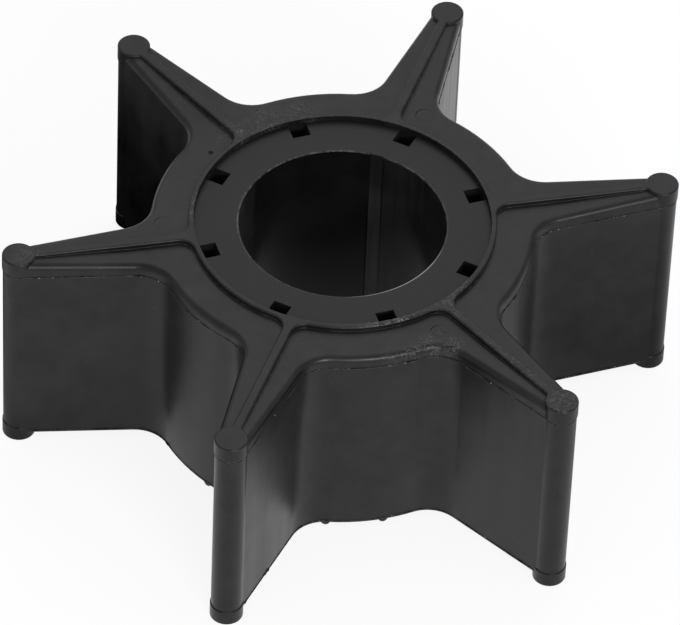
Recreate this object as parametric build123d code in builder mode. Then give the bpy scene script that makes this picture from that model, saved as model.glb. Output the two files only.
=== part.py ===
from build123d import *
import math
import os

# Rubber pump impeller on a hard bush. Sizes in millimetres.
# Z runs up the shaft axis. The origin is on that axis, in the plane of the lower bead ends.

# Overall
tip_radius = 33.0
height = 23.9
vane_count = 6

# Vanes and beads
bead_radius = 1.52
cap_step = 0.08
cap_height = 1.65
vane_tip_width = 2.9
vane_root_width = 6.2
root_fillet = 3.5

# Hub sleeve, its raised rim and the ridges
hub_wall = 4.15
rim_width = 0.5
ridge_width = 0.9
hub_ledge_depth = 0.55
tip_ledge_depth = 0.25
lower_ledge_depth = 0.9
upper_edge_round = 0.65
lower_edge_chamfer = 0.15
crown_chamfer = 0.12
ridge_flare = 1.5
cap_flare = 0.3

# Gate marks on the upper ledge
gate_count = 3
gate_diameter = 1.8
gate_sink = 0.12
gate_inset = 1.25
gate_lag = 8.5

# Bonded bush, its bore and the slots that key the rubber
insert_radius = 14.3
insert_recess = 0.6
bore_radius = 10.0
bore_chamfer = 0.08
slot_count = 8
slot_width = 1.8
slot_depth = 1.75
slot_turn = 7.5
pocket_depth = 3.0

# Drive keyway, closed at the upper end, and the seam line in the bore
keyway_width = 5.0
keyway_depth = 2.0
keyway_stop = 5.0
keyway_turn = -105.0
seam_width = 1.4
seam_depth = 0.1
seam_turn = 60.0

# Derived sizes
hub_radius = insert_radius + hub_wall
rim_radius = insert_radius + rim_width
rib_root = insert_radius + rim_width / 2
gate_circle_radius = hub_radius - gate_inset
bead_circle_radius = tip_radius - bead_radius - cap_step
cap_radius = bead_radius + cap_step
vane_turn = 360 / vane_count
taper_run = bead_circle_radius - hub_radius
vane_axis_width = vane_tip_width + (vane_root_width - vane_tip_width) * bead_circle_radius / taper_run
slot_floor_radius = insert_radius - slot_depth
insert_height = height - 2 * insert_recess
rib_height = insert_height - 2 * pocket_depth
keyway_length = insert_height - keyway_stop


def distance_from_axis(place):
    return math.hypot(place.X, place.Y)


with BuildPart() as vane_body:
    # Sleeve and vanes
    with BuildSketch(Plane.XY.offset(lower_ledge_depth)) as star:
        Circle(hub_radius)
        with PolarLocations(0, vane_count):
            Polygon(
                (0, vane_axis_width / 2),
                (bead_circle_radius, vane_tip_width / 2),
                (bead_circle_radius, -vane_tip_width / 2),
                (0, -vane_axis_width / 2),
                align=None,
            )
        fillet(star.vertices().group_by(distance_from_axis)[0], root_fillet)
    straight_start = star.vertices().group_by(Axis.X)[-2][0].X
    extrude(amount=height - lower_ledge_depth)

    # Ledge, level round the hub and rising along the straight sides of the vanes
    with BuildSketch(Plane.XY.offset(height - hub_ledge_depth)) as level:
        RegularPolygon(straight_start, vane_count, major_radius=False, rotation=vane_turn / 2)
    extrude(amount=hub_ledge_depth, mode=Mode.SUBTRACT)
    with BuildSketch(*[Plane.XZ.rotated((0, 0, vane_turn * k)) for k in range(vane_count)]) as rise:
        Polygon(
            (straight_start, height - hub_ledge_depth),
            (tip_radius, height - tip_ledge_depth),
            (tip_radius, height),
            (straight_start, height),
            align=None,
        )
    extrude(amount=vane_root_width, both=True, mode=Mode.SUBTRACT)
    ledge_edges = vane_body.edges().filter_by_position(
        Axis.Z, height - hub_ledge_depth - upper_edge_round, height
    )
    side_edges = ledge_edges.filter_by(
        lambda e: distance_from_axis(e.center()) < bead_circle_radius - bead_radius
    )
    fillet(side_edges.filter_by(lambda e: not e.is_interior), upper_edge_round)
    chamfer(vane_body.edges().group_by(Axis.Z)[0], lower_edge_chamfer)

    # Beads, then the rim, ridges and bead caps, which are the same on both faces
    with BuildSketch() as beads:
        with PolarLocations(bead_circle_radius, vane_count):
            Circle(bead_radius)
    extrude(amount=height)
    with BuildSketch(Plane.XY, Plane.XY.offset(height - cap_height)) as crown:
        Circle(rim_radius)
        with PolarLocations(0, vane_count):
            Rectangle(bead_circle_radius, ridge_width, align=(Align.MIN, Align.CENTER))
        fillet(crown.vertices().group_by(distance_from_axis)[0], ridge_flare)
        with PolarLocations(bead_circle_radius, vane_count):
            Circle(cap_radius)
        fillet(crown.vertices().group_by(distance_from_axis)[-1], cap_flare)
    extrude(amount=cap_height)
    chamfer(vane_body.edges().group_by(Axis.Z)[-1], crown_chamfer)
    chamfer(vane_body.edges().group_by(Axis.Z)[0], crown_chamfer)

    # Seat for the bush, with the ribs that fill its slots
    with BuildSketch() as seat:
        Circle(insert_radius)
    extrude(amount=height, mode=Mode.SUBTRACT)
    with BuildSketch(Plane.XY.offset(insert_recess + pocket_depth)) as ribs:
        with PolarLocations(slot_floor_radius, slot_count, start_angle=slot_turn):
            Rectangle(rib_root - slot_floor_radius, slot_width, align=(Align.MIN, Align.CENTER))
    extrude(amount=rib_height)

    # Gate marks
    with BuildSketch(Plane.XY.offset(height - hub_ledge_depth)) as gates:
        with PolarLocations(gate_circle_radius, gate_count, start_angle=vane_turn - gate_lag):
            Circle(gate_diameter / 2)
    extrude(amount=-gate_sink, mode=Mode.SUBTRACT)

vane_body.part.label = "vane_body"

with BuildPart() as hub_insert:
    # Bush with its bore and slots
    with BuildSketch(Plane.XY.offset(insert_recess)) as bush:
        Circle(insert_radius)
        Circle(bore_radius, mode=Mode.SUBTRACT)
        with PolarLocations(slot_floor_radius, slot_count, start_angle=slot_turn):
            Rectangle(
                rib_root - slot_floor_radius,
                slot_width,
                align=(Align.MIN, Align.CENTER),
                mode=Mode.SUBTRACT,
            )
    extrude(amount=insert_height)
    chamfer(hub_insert.edges().filter_by(GeomType.CIRCLE).group_by(SortBy.RADIUS)[0], bore_chamfer)

    # Keyway, open at the lower end only
    with BuildSketch(Plane.XY.offset(insert_recess)) as keyway:
        with PolarLocations(0, 1, start_angle=keyway_turn):
            Rectangle(bore_radius + keyway_depth, keyway_width, align=(Align.MIN, Align.CENTER))
    extrude(amount=keyway_length, mode=Mode.SUBTRACT)

    # Seam line, the full length of the bore
    with BuildSketch(Plane.XY.offset(insert_recess)) as seam:
        with PolarLocations(0, 1, start_angle=seam_turn):
            Rectangle(bore_radius + seam_depth, seam_width, align=(Align.MIN, Align.CENTER))
    extrude(amount=insert_height, mode=Mode.SUBTRACT)

hub_insert.part.label = "hub_insert"

os.makedirs("parts", exist_ok=True)
export_step(vane_body.part, "parts/vane_body.step")
export_step(hub_insert.part, "parts/hub_insert.step")
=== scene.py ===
"""Rubber pump impeller: finishes, mould flash, floor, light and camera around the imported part."""

import math
import random

import bmesh
import bpy
from mathutils import Matrix, Vector


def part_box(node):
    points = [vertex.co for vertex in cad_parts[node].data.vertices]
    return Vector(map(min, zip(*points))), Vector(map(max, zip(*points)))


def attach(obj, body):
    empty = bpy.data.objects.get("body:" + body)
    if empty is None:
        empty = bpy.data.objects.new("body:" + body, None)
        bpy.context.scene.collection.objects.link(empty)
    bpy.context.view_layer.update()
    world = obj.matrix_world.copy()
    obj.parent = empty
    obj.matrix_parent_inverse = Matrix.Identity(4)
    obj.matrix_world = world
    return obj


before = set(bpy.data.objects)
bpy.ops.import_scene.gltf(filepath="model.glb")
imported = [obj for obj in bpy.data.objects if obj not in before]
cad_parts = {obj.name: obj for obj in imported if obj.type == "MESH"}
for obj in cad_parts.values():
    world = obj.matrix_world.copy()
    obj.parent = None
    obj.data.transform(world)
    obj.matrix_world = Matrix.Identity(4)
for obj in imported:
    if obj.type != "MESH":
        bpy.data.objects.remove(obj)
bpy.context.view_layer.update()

# Every length below is in metres, every angle in degrees
MM = 0.001
vane_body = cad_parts["vane_body"]
hub_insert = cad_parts["hub_insert"]
_, body_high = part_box("vane_body")
_, bush_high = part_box("hub_insert")
top = body_high.z
bush_top = bush_high.z

# Camera, as the photograph was taken
aim_point = Vector((-0.0442, -0.7909, 11.95)) * MM
camera_distance = 687.5 * MM
camera_azimuth = -12.516
camera_elevation = 44.849
camera_roll = 2.507
camera_lens = 375.61
camera_sensor = 36.0
camera_clip = (0.01, 50.0)

# Levels and circles of the part that the added pieces sit on
upper_ledge = top - 0.55 * MM
bottom_ledge = 0.9 * MM
cap_radius = 1.6 * MM
cap_clearance = 0.1 * MM
bead_circle = body_high.x - cap_radius
vane_turn = 60.0

# Mould flash: a smooth rib, with torn stretches, that fades out in the quiet places. Its section
# is given as shares of its reach and of half its height
parting_depth = 1.85 * MM
parting_rise = 0.34 * MM
flash_step = 0.14 * MM
flash_reach = 0.1 * MM
torn_reach = 0.16 * MM
bead_flash_reach = 0.05 * MM
flash_height = 0.075 * MM
flash_sink = 0.03 * MM
flash_hidden = -0.5 * flash_sink
flash_section = ((0.65, 0.7), (1.0, 0.0), (0.6, -0.7))
least_drift = 0.2
least_height = 0.6
drift_passes = 2
tearing_passes = 60
torn_passes = 1
torn_power = 4
quiet_power = 4
quiet_places = ((Vector((-16.0, 21.0, 0.0)) * MM, 10.0 * MM),)
upper_seed = 3
lower_seed = 7
outline_weld = 1e-7

# Nubs of flash under the hub
nub_angles = (-143.6, -103.8, -86.1)
nub_radius = 18.15 * MM
nub_size = Vector((0.26, 0.46, 0.44)) * MM
nub_segments = (20, 12)

# Scars of torn rubber in the gate marks, with waves given as lobes round and pitch outwards
gate_angles = (51.5, 171.5, 291.5)
gate_circle = 17.2 * MM
gate_sink = 0.12 * MM
scar_radius = 0.93 * MM
scar_shift = Vector((0.05, -0.07, 0.0)) * MM
scar_rise = (0.01 * MM, 0.0, 0.02 * MM)
scar_lumps = (0.008 * MM, 0.004 * MM, 0.03 * MM)
scar_edge_drop = 0.01 * MM
scar_edge_power = 8
scar_rings = 9
scar_sides = 40
scar_seed = 11
scar_weld = 1e-6
wave_count = 6
wave_lobes = (2, 6)
wave_pitch = (3, 9)

# Where one noise, and the sum of two, mostly lie
one_noise = (0.3, 0.7)
two_noises = (0.7, 1.3)

# Finish that both pieces share
specular_level = 0.25
speck_radius = 0.07 * MM
speck_core = 0.6
# Painted shade: how far the slots, the pit and the hollows between pebbles are darkened
painted_shade_level = 0.1

# Rubber
rubber_mottle = 6 * MM
rubber_patch = 2.2 * MM
rubber_streak = 1.6 * MM
rubber_streak_stretch = (1.0, 1.0, 0.06)
rubber_grain = 0.16 * MM
rubber_edge = 0.09 * MM
rubber_tone = (0.0035, 0.0110)
rubber_roughness = (0.30, 0.40)
rubber_bump = (0.25, 0.02 * MM)
rubber_streak_relief = 0.35
# Depths of the slots, which are darkened as painted shade
rubber_slot_depths = (0.5 * MM, 0.1 * MM)
rubber_speck_share = 0.55
rubber_speck_spacing = 1.5 * MM
rubber_speck_light = 0.05
# On the flash the specks are painted glints, and pebbles cover it all over
torn_speck_spacing = 0.32 * MM
torn_speck_painted_glints = 0.3
torn_pebbling = 0.7
worn_turn = (0.015, 0.1)
worn_break = 0.5 * MM
worn_cut = (0.5, 0.64)
worn_light = 0.045

# Pebbles, lighter as dirt and painted glints, and the hollows between them darkened as painted
# shade
pebble_size = 0.2 * MM
pebble_cut = (0.44, 0.64)
pebble_dirt_and_glints = 0.06
pebble_relief = 6.0
pebble_break = 1.0 * MM
pebble_break_cut = (0.35, 0.6)
pebble_least = 0.2
hollow_size = 0.23 * MM
hollow_cut = (0.56, 0.68)
hollow_painted_shade = 0.6

# Pebbled places, as centre, radius and strength: on the ledge, and on the rim and ridges
ledge_pebbles = (
    (Vector((-8.0, 13.2, 23.4)) * MM, 2.4 * MM, 0.8),
    (Vector((-4.8, 14.8, 23.4)) * MM, 2.8 * MM, 0.7),
    (Vector((-1.2, 15.4, 23.4)) * MM, 2.4 * MM, 0.5),
    (Vector((1.4, -18.3, 23.1)) * MM, 1.4 * MM, 0.4),
    (Vector((3.4, -18.0, 23.2)) * MM, 1.5 * MM, 0.8),
    (Vector((5.2, -17.6, 23.2)) * MM, 1.6 * MM, 0.9),
    (Vector((7.2, -17.9, 23.2)) * MM, 1.5 * MM, 0.8),
    (Vector((5.9, -16.2, 23.4)) * MM, 0.9 * MM, 0.5),
)
crown_pebbles = (
    (Vector((-14.2, 4.0, 23.9)) * MM, 2.4 * MM, 0.6),
    (Vector((1.9, -14.6, 23.9)) * MM, 3.5 * MM, 1.9),
    (Vector((5.2, -13.6, 23.9)) * MM, 3.0 * MM, 0.8),
    (Vector((8.9, -12.3, 23.9)) * MM, 3.2 * MM, 1.1),
    (Vector((12.0, -20.8, 23.9)) * MM, 7.0 * MM, 0.5),
    (Vector((15.7, -27.2, 23.9)) * MM, 2.6 * MM, 0.6),
    (Vector((-30.5, -0.5, 23.9)) * MM, 2.4 * MM, 0.4),
    (Vector((10.5, 10.0, 23.9)) * MM, 6.0 * MM, 0.4),
)
crown_depth = 0.16 * MM
crown_core = 0.6
place_core = 0.35

# A dull patch on the back left vane, and a small pit in the ledge, darkened as painted shade
dull_places = ((Vector((-16.5, 21.0, 23.0)) * MM, 14.0 * MM, 0.1),)
pit_place = Vector((-10.8, 11.5, 23.35)) * MM
pit_radius = 0.32 * MM
pit_core = 0.5
pit_relief = 9.0
pit_dullness = 0.5

# Bush
bush_mottle = 5 * MM
bush_streak = 0.9 * MM
bush_streak_stretch = (1.0, 1.0, 0.05)
bush_grain = 0.2 * MM
bush_edge = 0.1 * MM
bush_tone = (0.0040, 0.0080)
bush_roughness = (0.42, 0.5)
bush_bump = (0.2, 0.015 * MM)
# Depths of the slots, which are darkened as painted shade
bush_slot_depths = (0.5 * MM, 0.05 * MM)
bush_speck_spacing = 1.8 * MM
bush_speck_share = 0.5
bush_speck_light = 0.05
wall_tone = 0.65
wall_gloss = 0.2
slot_roughness = 0.4

# Marks and painted light on the bush, by angle round the bore and by depth under its face
bore_radius = 10.0 * MM
seat_radius = 14.3 * MM
seat_margin = 0.1 * MM
wall_edge = (0.12 * MM, 0.2 * MM)
slot_margin = 1.0 * MM
seam_angle = 60.0
seam_half_angle = 4.0
seam_edge = (-0.5, 0.3)
seam_strength = 0.85
# Painted shade: a thin line along each edge of the seam is left without marks
crease_width = (0.15, 0.6)
scuffed_angles = (40.0, 56.0)
scuffed_edges = (6.0, 8.0, 1.0)
scuffed_strength = 0.4
streak_cut = (0.2, 0.8)
streak_least = 0.3
mark_depths = (16 * MM, 4 * MM)
mark_least = 0.06
mark_light = 0.16
# Painted light: the left and right sides of the bore are made lighter
left_painted_light_angles = (135.0, 165.0)
left_painted_light = 0.5
right_painted_light_angles = (38.0, 54.0)
right_painted_light = 0.13
painted_light_depths = (15 * MM, 9 * MM)
painted_light_range = (0.25, 0.75)
# Painted light: the bore wall is made lighter towards the bottom
bottom_light_depths = (12 * MM, 3 * MM)
bottom_painted_light = 0.005

# Lip of the bore: a painted highlight round one angle, and faint ragged wear all round
lip_width = 0.16 * MM
lip_core = 0.3
lip_depths = (0.14 * MM, 0.06 * MM)
lip_highlight_angle = -64.0
lip_highlight_facing = (0.82, 0.99)
lip_painted_highlight = 0.45
lip_break = 0.55 * MM
lip_break_cut = (0.42, 0.6)
lip_break_light = 0.06

# Floor, with its shaded places as centre, inner and outer radius, and depth. Under the bore it is
# dark, with a glimmer that fades out from a place at the back
floor_half_size = 12.0
floor_gap = 0.02 * MM
floor_grey = 0.93
floor_glow = 0.88
bore_shade = (11.0 * MM, 14.3 * MM)
glimmer_place = Vector((0.0, 10.0, 0.0)) * MM
glimmer_reach = 14.0 * MM
glimmer_depth = 0.55
floor_shades = (
    (Vector((-27.0, 27.0, 0.0)) * MM, 17.0 * MM, 36.0 * MM, 1.0),
    (Vector((30.0, -8.0, 0.0)) * MM, 4.0 * MM, 22.0 * MM, 0.5),
)

# Light: the world's strength, and softboxes as name, place, size and power
world_light = 0.7
softboxes = (
    ("back_softbox", (0.25, 0.9, 0.9), (1.2, 0.8), 2.6),
    ("top_softbox", (0.1, 0.35, 1.15), (0.9, 0.5), 1.4),
    ("front_softbox", (0.2, -1.17, 0.57), (0.6, 0.26), 10.0),
)


class Shader:
    """A material's node tree, with a short way to add and join nodes."""

    def __init__(self, name):
        self.material = bpy.data.materials.new(name)
        self.material.use_nodes = True
        self.tree = self.material.node_tree
        self.surface = self.tree.nodes["Principled BSDF"]

    def node(self, kind, inputs=None, **settings):
        made = self.tree.nodes.new(kind)
        for key, value in settings.items():
            setattr(made, key, value)
        for key, value in (inputs or {}).items():
            self.feed(made.inputs[key], value)
        return made

    def feed(self, socket, value):
        if isinstance(value, bpy.types.NodeSocket):
            self.tree.links.new(value, socket)
        else:
            socket.default_value = value

    def math(self, operation, a, b=0.0):
        return self.node("ShaderNodeMath", {0: a, 1: b}, operation=operation).outputs[0]

    def chain(self, operation, values):
        """One value made from several, taken one after another."""
        result = values[0]
        for value in values[1:]:
            result = self.math(operation, result, value)
        return result

    def add(self, *values):
        return self.chain("ADD", values)

    def times(self, *values):
        return self.chain("MULTIPLY", values)

    def most(self, *values):
        return self.chain("MAXIMUM", values)

    def place(self, scale=(1.0, 1.0, 1.0)):
        """Coordinates in the part's own frame, stretched along the axes."""
        source = self.node("ShaderNodeTexCoord").outputs["Object"]
        return self.node("ShaderNodeMapping", {"Vector": source, "Scale": scale}).outputs[0]

    def noise(self, size, detail, roughness=0.5, stretch=(1.0, 1.0, 1.0)):
        """Noise with features about that size, from 0 to 1."""
        inputs = {
            "Vector": self.place(stretch),
            "Scale": 1.0 / size,
            "Detail": detail,
            "Roughness": roughness,
        }
        return self.node("ShaderNodeTexNoise", inputs).outputs["Fac"]

    def ramp(self, value, low, high, out_low=0.0, out_high=1.0):
        """A value that runs evenly between two ends as another runs from low to high."""
        inputs = {
            "Value": value,
            "From Min": low,
            "From Max": high,
            "To Min": out_low,
            "To Max": out_high,
        }
        return self.node("ShaderNodeMapRange", inputs, clamp=True).outputs[0]

    def distance(self, centre):
        """How far a point is from a place in the part's frame."""
        inputs = {0: self.place(), 1: centre}
        return self.node("ShaderNodeVectorMath", inputs, operation="DISTANCE").outputs["Value"]

    def polar(self):
        """Distance from the shaft axis, and the angle round it in degrees."""
        parts = self.node("ShaderNodeSeparateXYZ", {0: self.place()}).outputs
        x, y = parts["X"], parts["Y"]
        squares = self.add(self.math("POWER", x, 2.0), self.math("POWER", y, 2.0))
        angle = self.math("DEGREES", self.math("ARCTAN2", y, x))
        return self.math("SQRT", squares), angle

    def level(self):
        """Height in the part's own frame."""
        return self.node("ShaderNodeSeparateXYZ", {0: self.place()}).outputs["Z"]

    def under(self, depths, out_low=0.0, out_high=1.0):
        """A ramp up the height of the bush, between two depths under its face."""
        lower, upper = depths
        return self.ramp(self.level(), bush_top - lower, bush_top - upper, out_low, out_high)

    def rounding(self, radius, samples):
        """The surface's normal with its edges rounded."""
        return self.node("ShaderNodeBevel", {"Radius": radius}, samples=samples).outputs[0]

    def sharpness(self, rounded):
        """How far the rounded normal turns from the surface's own: more on sharp edges."""
        inputs = {0: rounded, 1: self.node("ShaderNodeNewGeometry").outputs["Normal"]}
        facing = self.node("ShaderNodeVectorMath", inputs, operation="DOT_PRODUCT")
        return self.math("SUBTRACT", 1.0, facing.outputs["Value"])

    def places(self, spots):
        """How strongly a point lies in one of some round places."""
        found = [
            self.ramp(self.distance(centre), place_core * radius, radius, strength, 0.0)
            for centre, radius, strength in spots
        ]
        return self.most(0.0, *found)

    def specks(self, spacing, share):
        """Small round specks, in that share of the cells they are spread over."""
        inputs = {"Vector": self.place(), "Scale": 1.0 / spacing}
        cells = self.node("ShaderNodeTexVoronoi", inputs).outputs
        reach = speck_radius / spacing
        near = self.ramp(cells["Distance"], speck_core * reach, reach, 1.0, 0.0)
        chance = self.node("ShaderNodeSeparateColor", {0: cells["Color"]}).outputs[0]
        return self.times(near, self.math("LESS_THAN", chance, share))

    def grey(self, value):
        return self.node("ShaderNodeCombineColor", {0: value, 1: value, 2: value}).outputs[0]

    def complete(self, colour, rough, relief, rounded, bump):
        """Join colour, roughness and relief to the surface, and give back the material."""
        strength, depth = bump
        inputs = {"Height": relief, "Normal": rounded, "Strength": strength, "Distance": depth}
        normal = self.node("ShaderNodeBump", inputs).outputs[0]
        self.feed(self.surface.inputs["Base Color"], self.grey(colour))
        self.feed(self.surface.inputs["Roughness"], rough)
        self.feed(self.surface.inputs["Normal"], normal)
        self.surface.inputs["Specular IOR Level"].default_value = specular_level
        return self.material


def rubber_material(name, pebbling, speck_spacing, speck_dirt_and_glints):
    """Semi-matt moulded rubber: grain, mottling, worn edges and specks of dirt, pebbled places
    whose lighter tops are partly dirt and partly painted glints, and painted shade in their
    hollows, in the slots and in the pit. On the flash the specks are painted glints.
    """
    s = Shader(name)
    mottle = s.noise(rubber_mottle, detail=3)
    streaks = s.noise(rubber_streak, detail=2, stretch=rubber_streak_stretch)
    grain = s.noise(rubber_grain, detail=3, roughness=0.65)
    pebbles = s.ramp(s.noise(pebble_size, detail=1), *pebble_cut)
    hollows = s.ramp(s.noise(hollow_size, detail=1), *hollow_cut)
    rounded = s.rounding(rubber_edge, samples=8)

    crown = s.ramp(s.level(), top - crown_depth, top - crown_core * crown_depth)
    pebbled = s.most(pebbling, s.places(ledge_pebbles), s.times(crown, s.places(crown_pebbles)))
    broken = s.ramp(s.noise(pebble_break, detail=2), *pebble_break_cut, pebble_least, 1.0)
    pebbled = s.times(pebbled, broken)
    pebbles = s.times(pebbles, pebbled)
    pit = s.ramp(s.distance(pit_place), pit_core * pit_radius, pit_radius, 1.0, 0.0)

    edges = s.ramp(s.sharpness(rounded), *worn_turn)
    worn = s.times(edges, s.ramp(s.noise(worn_break, detail=3), *worn_cut))
    specks = s.specks(speck_spacing, rubber_speck_share)
    # Lighter colour from wear on edges, and from pebbles and specks that are partly dirt and partly
    # painted glints
    wear_dirt_and_glints = s.add(
        s.times(pebbles, pebble_dirt_and_glints), s.times(worn, worn_light), s.times(specks, speck_dirt_and_glints)
    )
    patches = s.add(mottle, s.noise(rubber_patch, detail=3, roughness=0.6))
    colour = s.add(s.ramp(patches, *two_noises, *rubber_tone), wear_dirt_and_glints)

    from_axis, _ = s.polar()
    deep = s.under(rubber_slot_depths, 1.0, 0.0)
    deep = s.times(deep, s.math("LESS_THAN", from_axis, seat_radius + seat_margin))
    low_places = s.most(pit, deep)
    # Painted shade: the slots, the pit and the hollows between pebbles are darkened
    painted_shade = s.most(low_places, s.times(hollows, s.math("MINIMUM", pebbled, hollow_painted_shade)))
    colour = s.times(colour, s.ramp(painted_shade, 0.0, 1.0, 1.0, painted_shade_level))

    rough = s.ramp(s.add(mottle, streaks), *two_noises, *rubber_roughness)
    rough = s.add(rough, s.most(s.times(low_places, pit_dullness), s.places(dull_places)))
    relief = s.add(
        grain, s.times(streaks, rubber_streak_relief), s.times(pebbles, pebble_relief)
    )
    relief = s.math("SUBTRACT", relief, s.times(pit, pit_relief))
    return s.complete(colour, rough, relief, rounded, rubber_bump)


def bush_material():
    """Hard moulded plastic: smooth, with a seam and drag marks up the bore, painted light on the
    bore's sides and lower down, painted shade along the seam's edges and in the slots, and a lip
    with a painted highlight and faint wear.
    """
    s = Shader("moulded_bush")
    mottle = s.noise(bush_mottle, detail=3)
    streaks = s.noise(bush_streak, detail=3, roughness=0.6, stretch=bush_streak_stretch)
    grain = s.noise(bush_grain, detail=3, roughness=0.6)
    rounded = s.rounding(bush_edge, samples=6)
    from_axis, angle = s.polar()
    inner, outer = wall_edge
    wall = s.ramp(from_axis, bore_radius + inner, bore_radius + outer, 1.0, 0.0)

    # Seam and scuffs, stronger down the bore
    from_seam = s.math("ABSOLUTE", s.math("SUBTRACT", angle, seam_angle))
    inner, outer = seam_edge
    seam = s.ramp(from_seam, seam_half_angle + inner, seam_half_angle + outer, 1.0, 0.0)
    # Painted shade along the seam's edges, where the marks are left out
    from_crease = s.math("ABSOLUTE", s.math("SUBTRACT", from_seam, seam_half_angle))
    crease = s.ramp(from_crease, *crease_width, 1.0, 0.0)
    low, high = scuffed_angles
    before, after, end = scuffed_edges
    scuffed = s.times(
        s.ramp(angle, low - before, low + after), s.ramp(angle, high - end, high, 1.0, 0.0)
    )
    marks = s.add(s.times(seam, seam_strength), s.times(scuffed, scuffed_strength))
    marks = s.times(marks, s.ramp(streaks, *streak_cut, streak_least, 1.0))
    marks = s.times(marks, s.under(mark_depths, 1.0, mark_least))

    # Painted light on both sides, only in the upper part of the bore
    side = s.add(
        s.ramp(angle, *left_painted_light_angles, 0.0, left_painted_light),
        s.ramp(angle, *right_painted_light_angles, right_painted_light, 0.0),
    )
    side = s.times(side, s.under(painted_light_depths))
    side_painted_light = s.times(s.ramp(s.add(mottle, streaks), *two_noises, *painted_light_range), side)
    marks = s.times(s.add(marks, side_painted_light), wall, s.math("SUBTRACT", 1.0, crease))

    # Lip: a painted highlight round one angle, and faint ragged wear all round
    lip = s.ramp(from_axis, bore_radius + lip_core * lip_width, bore_radius + lip_width, 1.0, 0.0)
    lip = s.times(lip, s.under(lip_depths))
    facing = s.math("COSINE", s.math("RADIANS", s.math("SUBTRACT", angle, lip_highlight_angle)))
    highlighted = s.ramp(facing, *lip_highlight_facing)
    ragged = s.ramp(s.noise(lip_break, detail=3, roughness=0.7), *lip_break_cut)
    strength = s.add(s.times(highlighted, lip_painted_highlight), s.times(ragged, lip_break_light))

    plain = s.times(s.ramp(mottle, *one_noise, *bush_tone), s.ramp(wall, 0.0, 1.0, 1.0, wall_tone))
    colour = s.add(
        plain,
        s.times(marks, mark_light),
        # painted light, lighter towards the bottom of the bore wall
        s.times(wall, s.under(bottom_light_depths, bottom_painted_light, 0.0)),
        s.times(lip, strength),
        s.times(s.specks(bush_speck_spacing, bush_speck_share), bush_speck_light),
    )
    # Painted shade: the slots are darkened
    deep = s.under(bush_slot_depths, 1.0, 0.0)
    slots = s.times(deep, s.math("GREATER_THAN", from_axis, bore_radius + slot_margin))
    colour = s.times(colour, s.ramp(slots, 0.0, 1.0, 1.0, painted_shade_level))

    rough = s.ramp(mottle, *one_noise, *bush_roughness)
    rough = s.math("SUBTRACT", rough, s.times(wall, wall_gloss))
    rough = s.add(rough, s.times(s.most(slots, lip), slot_roughness))
    relief = s.add(grain, s.times(streaks, wall))
    return s.complete(colour, rough, relief, rounded, bush_bump)


def floor_material():
    """Plain white floor that keeps a soft shadow, and looks dark from the bore and two gaps."""
    s = Shader("white_floor")
    rays = s.node("ShaderNodeLightPath").outputs
    glimmer = s.ramp(s.distance(glimmer_place), 0.0, glimmer_reach, glimmer_depth, 0.0)
    from_axis, _ = s.polar()
    shade = s.ramp(from_axis, *bore_shade, glimmer, 1.0)
    for centre, inner, outer, depth in floor_shades:
        shade = s.times(shade, s.ramp(s.distance(centre), inner, outer, 1.0 - depth, 1.0))
    shade = s.most(shade, rays["Is Camera Ray"])
    s.feed(s.surface.inputs["Base Color"], s.grey(s.times(shade, floor_grey)))
    s.surface.inputs["Roughness"].default_value = 1.0
    s.surface.inputs["Specular IOR Level"].default_value = 0.0
    glow = s.node("ShaderNodeEmission", {"Color": s.grey(shade), "Strength": 1.0})
    seen = s.times(rays["Is Camera Ray"], floor_glow)
    seen = s.most(seen, rays["Is Glossy Ray"], rays["Is Transmission Ray"])
    mixed = s.node("ShaderNodeMixShader", {0: seen, 1: s.surface.outputs[0], 2: glow.outputs[0]})
    s.tree.links.new(mixed.outputs[0], s.tree.nodes["Material Output"].inputs["Surface"])
    return s.material


def outline_at(node, height):
    """The outermost closed line where a level plane cuts a CAD node, as points."""
    mesh = bmesh.new()
    mesh.from_mesh(node.data)
    bmesh.ops.remove_doubles(mesh, verts=mesh.verts, dist=outline_weld)
    geometry = mesh.verts[:] + mesh.edges[:] + mesh.faces[:]
    plane = {"plane_co": (0, 0, height), "plane_no": (0, 0, 1)}
    cut = bmesh.ops.bisect_plane(mesh, geom=geometry, **plane)
    lines = [e for e in cut["geom_cut"] if isinstance(e, bmesh.types.BMEdge)]
    beside = {}
    for line in lines:
        a, b = line.verts
        beside.setdefault(a, []).append(b)
        beside.setdefault(b, []).append(a)
    start = max(beside, key=lambda v: (v.co.xy.length, v.co.x))
    loop, last = [start], None
    while True:
        onward = [v for v in beside[loop[-1]] if v is not last]
        last = loop[-1]
        if not onward or onward[0] is start:
            break
        loop.append(onward[0])
    points = [v.co.copy() for v in loop]
    mesh.free()
    return points


def evenly_spaced(points, step):
    """Points at even steps along a closed line."""
    closed = points + points[:1]
    lengths = [(b - a).length for a, b in zip(closed, closed[1:])]
    total = sum(lengths)
    count = int(total / step)
    made, index, walked = [], 0, 0.0
    for k in range(count):
        wanted = total * k / count
        while walked + lengths[index] < wanted:
            walked += lengths[index]
            index += 1
        share = (wanted - walked) / lengths[index]
        made.append(closed[index].lerp(closed[index + 1], share))
    return made


def new_piece(name, mesh, material):
    """A mesh object with a finish, riding on the part."""
    data = bpy.data.meshes.new(name)
    mesh.to_mesh(data)
    mesh.free()
    for face in data.polygons:
        face.use_smooth = True
    data.materials.append(material)
    piece = bpy.data.objects.new(name, data)
    bpy.context.scene.collection.objects.link(piece)
    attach(piece, "root")


def smoothed(values, passes):
    """A closed row of values, each drawn towards its neighbours."""
    count = len(values)
    for _ in range(passes):
        values = [
            (values[k - 1] + values[k] + values[(k + 1) % count]) / 3 for k in range(count)
        ]
    return values


def from_nearest_bead(point):
    """How far a point is, seen from above, from the axis of the nearest bead."""
    step = math.radians(vane_turn)
    turn = round(math.atan2(point.y, point.x) / step) * step
    return (point.xy - Vector((math.cos(turn), math.sin(turn))) * bead_circle).length


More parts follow.
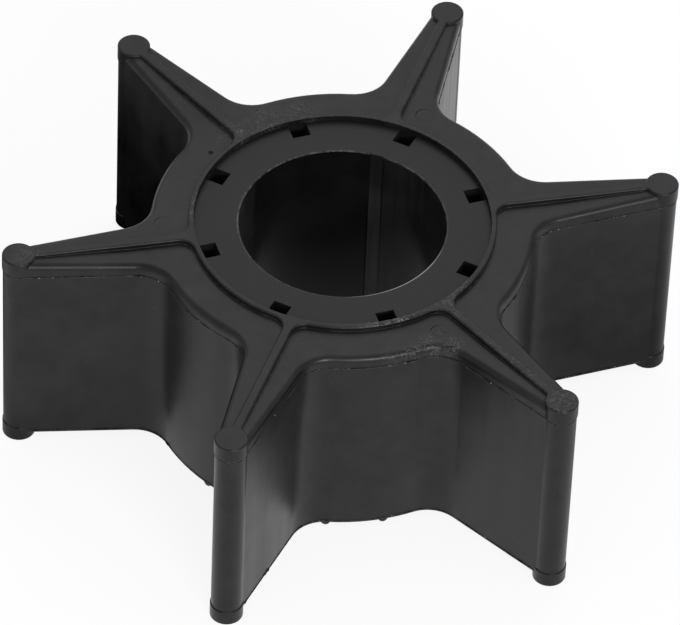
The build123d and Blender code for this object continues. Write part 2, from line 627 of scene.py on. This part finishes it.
def flash_line(name, height, material, seed, over_caps):
    """A thin uneven rib of flash round the outline at one height, sunk in at the bead caps."""
    rng = random.Random(seed)
    points = evenly_spaced(outline_at(vane_body, height), flash_step)
    count = len(points)
    drift = smoothed([rng.uniform(least_drift, 1.0) for _ in range(count)], drift_passes)
    tearing = smoothed([rng.uniform(0.0, 1.0) for _ in range(count)], tearing_passes)
    middle = sorted(tearing)[count // 2]
    torn = [rng.random() ** torn_power if t > middle else 0.0 for t in tearing]
    torn = smoothed(torn, torn_passes)
    winding = sum(a.x * b.y - b.x * a.y for a, b in zip(points, points[1:] + points[:1]))
    side = 1.0 if winding > 0 else -1.0
    mesh = bmesh.new()
    rings = []
    for k, point in enumerate(points):
        along = (points[(k + 1) % count] - points[k - 1]).normalized()
        outward = Vector((along.y, -along.x, 0.0)) * side
        reach = flash_reach * drift[k] + torn_reach * torn[k]
        if from_nearest_bead(point) < cap_radius + cap_clearance:
            reach = min(reach, bead_flash_reach) if over_caps else flash_hidden
        for centre, radius in quiet_places:
            share = min(1.0, ((point.xy - centre.xy).length / radius) ** quiet_power)
            reach = reach * share + flash_hidden * (1.0 - share)
        half = flash_height * (least_height + (1.0 - least_height) * drift[k])
        section = [(reach * out, half * up) for out, up in flash_section]
        section = [(-flash_sink, half), *section, (-flash_sink, -half)]
        rings.append([
            mesh.verts.new(point + outward * out + Vector((0, 0, up))) for out, up in section
        ])
    for k in range(count):
        here, onward = rings[k], rings[(k + 1) % count]
        for j in range(len(here)):
            i = (j + 1) % len(here)
            mesh.faces.new((here[j], here[i], onward[i], onward[j]))
    bmesh.ops.recalc_face_normals(mesh, faces=mesh.faces)
    new_piece(name, mesh, material)


def flash_nubs(material):
    """Small nubs of flash left under the lower edge of the hub."""
    mesh = bmesh.new()
    across, up = nub_segments
    for angle in nub_angles:
        made = bmesh.ops.create_uvsphere(mesh, u_segments=across, v_segments=up, radius=1.0)
        cos, sin = math.cos(math.radians(angle)), math.sin(math.radians(angle))
        for v in made["verts"]:
            x, y, z = v.co.x * nub_size.x, v.co.y * nub_size.y, v.co.z * nub_size.z
            x += nub_radius
            v.co = Vector((x * cos - y * sin, x * sin + y * cos, z + bottom_ledge))
    new_piece("flash_nubs", mesh, material)


def gate_scars(material):
    """Low mounds of torn rubber that leave a crescent of each gate mark open."""
    rng = random.Random(scar_seed)
    mesh = bmesh.new()
    for gate, rise, lump in zip(gate_angles, scar_rise, scar_lumps):
        turn = math.radians(gate)
        centre = Vector((math.cos(turn), math.sin(turn), 0.0)) * gate_circle + scar_shift
        centre.z = upper_ledge - gate_sink
        waves = [
            (rng.randint(*wave_lobes), rng.uniform(0, math.tau), rng.uniform(*wave_pitch))
            for _ in range(wave_count)
        ]
        last = None
        for ring in range(scar_rings + 1):
            share = ring / scar_rings
            reach = scar_radius * share
            here = []
            for side in range(scar_sides):
                angle = math.tau * side / scar_sides
                ripple = sum(
                    math.sin(lobes * angle + phase + pitch * share)
                    for lobes, phase, pitch in waves
                )
                height = gate_sink + (rise + lump * share * ripple) * (1.0 - share ** 2)
                height -= scar_edge_drop * share ** scar_edge_power
                place = Vector((math.cos(angle) * reach, math.sin(angle) * reach, height))
                here.append(mesh.verts.new(centre + place))
            if last:
                for side in range(scar_sides):
                    onward = (side + 1) % scar_sides
                    mesh.faces.new((last[side], here[side], here[onward], last[onward]))
            last = here
    bmesh.ops.remove_doubles(mesh, verts=mesh.verts, dist=scar_weld)
    bmesh.ops.recalc_face_normals(mesh, faces=mesh.faces)
    new_piece("gate_scars", mesh, material)


def area_light(name, place, size, power):
    """A softbox that points at the foot of the shaft axis."""
    data = bpy.data.lights.new(name, "AREA")
    data.shape = "RECTANGLE"
    data.size, data.size_y = size
    data.energy = power
    light = bpy.data.objects.new(name, data)
    bpy.context.scene.collection.objects.link(light)
    light.location = place
    light.rotation_euler = (-Vector(place)).to_track_quat("-Z", "Y").to_euler()


def build_stage():
    """The floor, a white world behind it, and the lights."""
    mesh = bmesh.new()
    bmesh.ops.create_grid(mesh, x_segments=1, y_segments=1, size=floor_half_size)
    data = bpy.data.meshes.new("floor")
    mesh.to_mesh(data)
    mesh.free()
    data.materials.append(floor_material())
    floor = bpy.data.objects.new("floor", data)
    bpy.context.scene.collection.objects.link(floor)
    floor.location = (0.0, 0.0, -floor_gap)

    world = bpy.data.worlds.new("studio")
    world.use_nodes = True
    bpy.context.scene.world = world
    nodes, links = world.node_tree.nodes, world.node_tree.links
    background = nodes["Background"]
    background.inputs["Color"].default_value = (1.0, 1.0, 1.0, 1.0)
    rays = nodes.new("ShaderNodeLightPath")
    seen = nodes.new("ShaderNodeMath")
    seen.operation = "MAXIMUM"
    links.new(rays.outputs["Is Camera Ray"], seen.inputs[0])
    links.new(rays.outputs["Is Transmission Ray"], seen.inputs[1])
    strength = nodes.new("ShaderNodeMapRange")
    strength.inputs["To Min"].default_value = world_light
    strength.inputs["To Max"].default_value = 1.0
    links.new(seen.outputs[0], strength.inputs["Value"])
    links.new(strength.outputs[0], background.inputs["Strength"])

    for softbox in softboxes:
        area_light(*softbox)


def build_camera():
    """The camera, from where the photograph was taken."""
    data = bpy.data.cameras.new("camera")
    data.lens = camera_lens
    data.sensor_width = camera_sensor
    data.clip_start, data.clip_end = camera_clip
    camera = bpy.data.objects.new("camera", data)
    bpy.context.scene.collection.objects.link(camera)
    azimuth, elevation = math.radians(camera_azimuth), math.radians(camera_elevation)
    back = Vector((
        math.sin(azimuth) * math.cos(elevation),
        -math.cos(azimuth) * math.cos(elevation),
        math.sin(elevation),
    ))
    camera.location = aim_point + back * camera_distance
    level = (-back).to_track_quat("-Z", "Y").to_matrix()
    roll = Matrix.Rotation(math.radians(camera_roll), 3, "Z")
    camera.rotation_euler = (level @ roll).to_euler()
    bpy.context.scene.camera = camera


rubber = rubber_material("moulded_rubber", 0.0, rubber_speck_spacing, rubber_speck_light)
torn_rubber = rubber_material("torn_rubber", torn_pebbling, torn_speck_spacing, torn_speck_painted_glints)
bush = bush_material()
for slot in vane_body.material_slots:
    slot.material = rubber
for slot in hub_insert.material_slots:
    slot.material = bush

lower_parting = bottom_ledge + parting_rise
flash_line("upper_flash", top - parting_depth, torn_rubber, upper_seed, over_caps=True)
flash_line("lower_flash", lower_parting, torn_rubber, lower_seed, over_caps=False)
flash_nubs(rubber)
gate_scars(rubber)
build_stage()
build_camera()

bpy.context.scene.view_settings.view_transform = "Standard"
